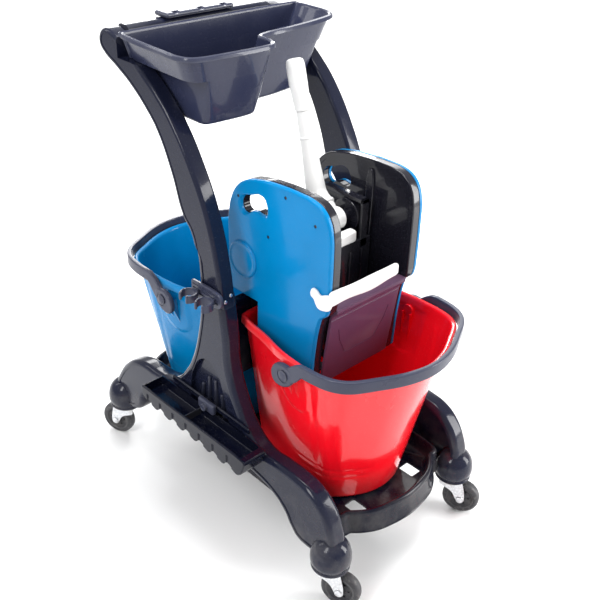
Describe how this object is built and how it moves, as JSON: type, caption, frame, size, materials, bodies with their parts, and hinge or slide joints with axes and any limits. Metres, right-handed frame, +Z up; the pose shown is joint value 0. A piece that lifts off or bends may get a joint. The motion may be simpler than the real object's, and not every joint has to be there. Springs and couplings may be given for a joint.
{
  "type": "housekeeping cart",
  "caption": "Two-bucket mopping trolley: moulded side frames, curved arms with a push bar and tool tray, lever press wringer, swivel casters.",
  "frame": {"origin": "middle of the bounding box at floor level", "axes": "+Z up, +X towards the red front bucket, +Y to the side without the rack; the push bar is at -X"},
  "size_m": [0.7003, 0.43, 0.8665],
  "materials": {
    "moulded_slate": "glossy moulded polypropylene, dark slate",
    "moulded_slate_dark": "glossy moulded polypropylene, darker slate",
    "tray_blue_grey": "glossy moulded polypropylene, dark blue-grey",
    "graphite": "satin grey plastic",
    "red_plastic": "glossy red polypropylene",
    "blue_plastic": "glossy blue polypropylene",
    "liner_dark": "satin near-black polypropylene",
    "plum_plastic": "satin purple-grey plastic",
    "white_plastic": "satin white plastic",
    "zinc_steel": "zinc-plated pressed steel",
    "hub_plastic": "grey polypropylene wheel centre",
    "tyre_rubber": "dark grey soft rubber"
  },
  "bodies": {
    "chassis": {"base_tray": "moulded_slate_dark", "cross_beam": "moulded_slate_dark", "side_frame_near": "moulded_slate", "side_frame_far": "moulded_slate", "arm_near": "moulded_slate", "arm_far": "moulded_slate", "push_bar": "moulded_slate", "grip_block": "graphite", "clip_rail": "graphite", "handle_clip_rear": "graphite", "handle_clip_front": "graphite", "side_rack": "moulded_slate_dark", "rack_rail": "moulded_slate_dark", "rack_latch": "graphite", "caster_front_near_bearing": "zinc_steel", "caster_front_far_bearing": "zinc_steel", "caster_rear_near_bearing": "zinc_steel", "caster_rear_far_bearing": "zinc_steel"},
    "tool_tray": {"tool_tray": "tray_blue_grey"},
    "red_bucket": {"bucket_red": "red_plastic", "bail_pin_red_near": "graphite", "bail_pin_red_far": "graphite"},
    "red_bail": {"bail_red": "graphite"},
    "blue_bucket": {"bucket_blue": "blue_plastic", "bail_pin_blue_near": "graphite", "bail_pin_blue_far": "graphite"},
    "blue_bail": {"bail_blue": "graphite"},
    "wringer": {"wringer_cheek_near": "blue_plastic", "wringer_cheek_far": "blue_plastic", "wringer_liner_near": "liner_dark", "wringer_liner_far": "liner_dark", "pivot_cover_near": "blue_plastic", "pivot_cover_far": "blue_plastic", "wringer_front_panel": "plum_plastic", "wringer_back_panel": "liner_dark", "wringer_sieve": "liner_dark", "guard_bar": "white_plastic"},
    "press": {"press_plate": "liner_dark", "press_guide_block": "white_plastic"},
    "press_lever": {"press_shaft": "liner_dark", "lever": "white_plastic", "lever_grip": "white_plastic"},
    "caster_front_near_swivel": {"caster_front_near_fork": "zinc_steel", "caster_front_near_axle": "zinc_steel"},
    "caster_front_near_wheel": {"caster_front_near_hub": "hub_plastic", "caster_front_near_tyre": "tyre_rubber"},
    "caster_front_far_swivel": {"caster_front_far_fork": "zinc_steel", "caster_front_far_axle": "zinc_steel"},
    "caster_front_far_wheel": {"caster_front_far_hub": "hub_plastic", "caster_front_far_tyre": "tyre_rubber"},
    "caster_rear_near_swivel": {"caster_rear_near_fork": "zinc_steel", "caster_rear_near_axle": "zinc_steel"},
    "caster_rear_near_wheel": {"caster_rear_near_hub": "hub_plastic", "caster_rear_near_tyre": "tyre_rubber"},
    "caster_rear_far_swivel": {"caster_rear_far_fork": "zinc_steel", "caster_rear_far_axle": "zinc_steel"},
    "caster_rear_far_wheel": {"caster_rear_far_hub": "hub_plastic", "caster_rear_far_tyre": "tyre_rubber"}
  },
  "joints": [
    {"name": "caster_front_near_swivel", "type": "hinge", "parent": "chassis", "child": "caster_front_near_swivel", "pos_m": [0.2961, -0.1506, 0.075], "axis": [0, 0, 1], "continuous": true},
    {"name": "caster_front_near_wheel_spin", "type": "hinge", "parent": "caster_front_near_swivel", "child": "caster_front_near_wheel", "pos_m": [0.3162, -0.14165, 0.035], "axis": [-0.4067, 0.9135, 0], "continuous": true},
    {"name": "caster_front_far_swivel", "type": "hinge", "parent": "chassis", "child": "caster_front_far_swivel", "pos_m": [0.2961, 0.1794, 0.075], "axis": [0, 0, 1], "continuous": true},
    {"name": "caster_front_far_wheel_spin", "type": "hinge", "parent": "caster_front_far_swivel", "child": "caster_front_far_wheel", "pos_m": [0.31587, 0.18904, 0.035], "axis": [-0.4384, 0.8988, 0], "continuous": true},
    {"name": "caster_rear_near_swivel", "type": "hinge", "parent": "chassis", "child": "caster_rear_near_swivel", "pos_m": [-0.2939, -0.1506, 0.075], "axis": [0, 0, 1], "continuous": true},
    {"name": "caster_rear_near_wheel_spin", "type": "hinge", "parent": "caster_rear_near_swivel", "child": "caster_rear_near_wheel", "pos_m": [-0.31415, -0.1592, 0.035], "axis": [0.3907, -0.9205, 0], "continuous": true},
    {"name": "caster_rear_far_swivel", "type": "hinge", "parent": "chassis", "child": "caster_rear_far_swivel", "pos_m": [-0.2939, 0.1794, 0.075], "axis": [0, 0, 1], "continuous": true},
    {"name": "caster_rear_far_wheel_spin", "type": "hinge", "parent": "caster_rear_far_swivel", "child": "caster_rear_far_wheel", "pos_m": [-0.31505, 0.17334, 0.035], "axis": [0.2756, -0.9613, 0], "continuous": true},
    {"name": "tool_tray_lift_off", "type": "slide", "parent": "chassis", "child": "tool_tray", "axis": [0, 0, 1], "range_m": [0, 0.22]},
    {"name": "red_bucket_lift_out", "type": "slide", "parent": "chassis", "child": "red_bucket", "axis": [0.6, 0, 0.8], "range_m": [0, 0.16]},
    {"name": "red_bail_swing", "type": "hinge", "parent": "red_bucket", "child": "red_bail", "pos_m": [0.1701, 0.0144, 0.396], "axis": [0, -1, 0], "range_deg": [0, 45]},
    {"name": "blue_bucket_lift_out", "type": "slide", "parent": "chassis", "child": "blue_bucket", "axis": [-0.6, 0, 0.8], "range_m": [0, 0.16]},
    {"name": "blue_bail_swing", "type": "hinge", "parent": "blue_bucket", "child": "blue_bail", "pos_m": [-0.1489, 0.0144, 0.392], "axis": [0, 1, 0], "range_deg": [0, 90]},
    {"name": "wringer_lift_off", "type": "slide", "parent": "red_bucket", "child": "wringer", "axis": [0.35, 0, 0.9367], "range_m": [0, 0.15]},
    {"name": "press_lever_pull", "type": "hinge", "parent": "wringer", "child": "press_lever", "pos_m": [0.0861, 0.0344, 0.58], "axis": [0, 1, 0], "range_deg": [0, 75]},
    {"name": "press_plate_travel", "type": "slide", "parent": "wringer", "child": "press", "axis": [1, 0, 0], "range_m": [0, 0.0367]}
  ],
  "couplings": [
    {"joint": "press_plate_travel", "follows": "press_lever_pull", "m_per_rad": 0.028}
  ]
}
